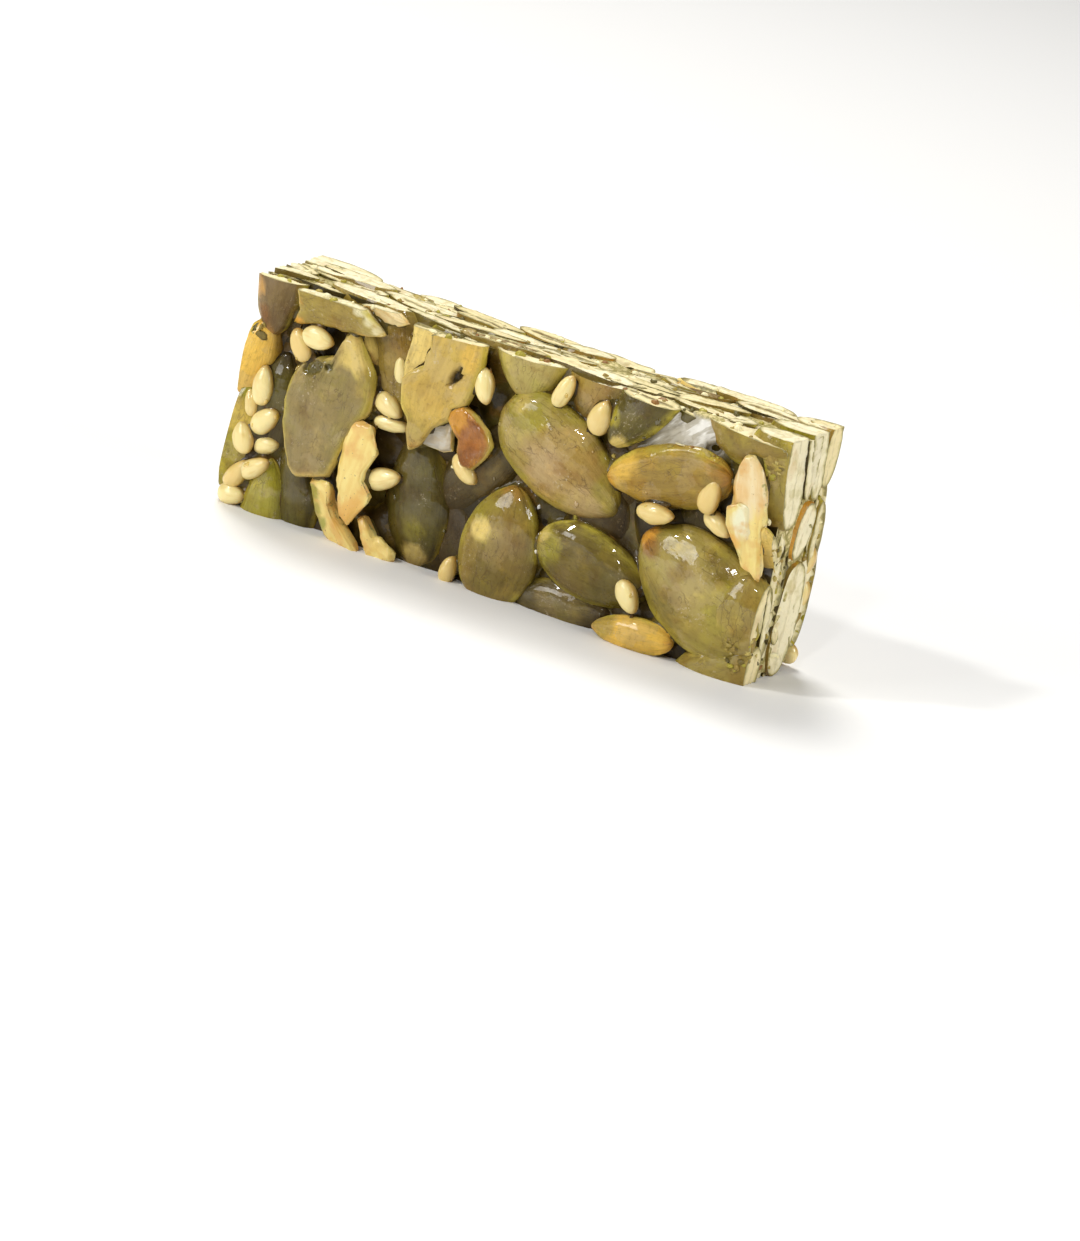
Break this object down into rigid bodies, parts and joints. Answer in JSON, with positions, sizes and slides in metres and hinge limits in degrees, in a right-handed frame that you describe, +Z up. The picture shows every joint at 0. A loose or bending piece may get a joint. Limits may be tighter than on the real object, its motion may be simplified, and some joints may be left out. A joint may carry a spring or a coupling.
{
  "type": "pumpkin seed crisp",
  "caption": "Knife-cut bar of green pumpkin kernels and sesame set in syrup, whole kernels on the rolled faces and sliced ones on the cut edges.",
  "frame": {"origin": "on the table, under the middle of the bar", "axes": "+X along the length, +Y through the thickness from the shown rolled face to the far one, +Z up from the long cut edge that the bar stands on"},
  "size_m": [0.056, 0.0114, 0.0226],
  "materials": {
    "seeds_in_syrup": "glossy olive and yellow-green kernels in clear syrup, with matt cream kernel flesh on the cut edges"
  },
  "bodies": {
    "root": {"seed_crisp_bar": "seeds_in_syrup"}
  },
  "joints": []
}
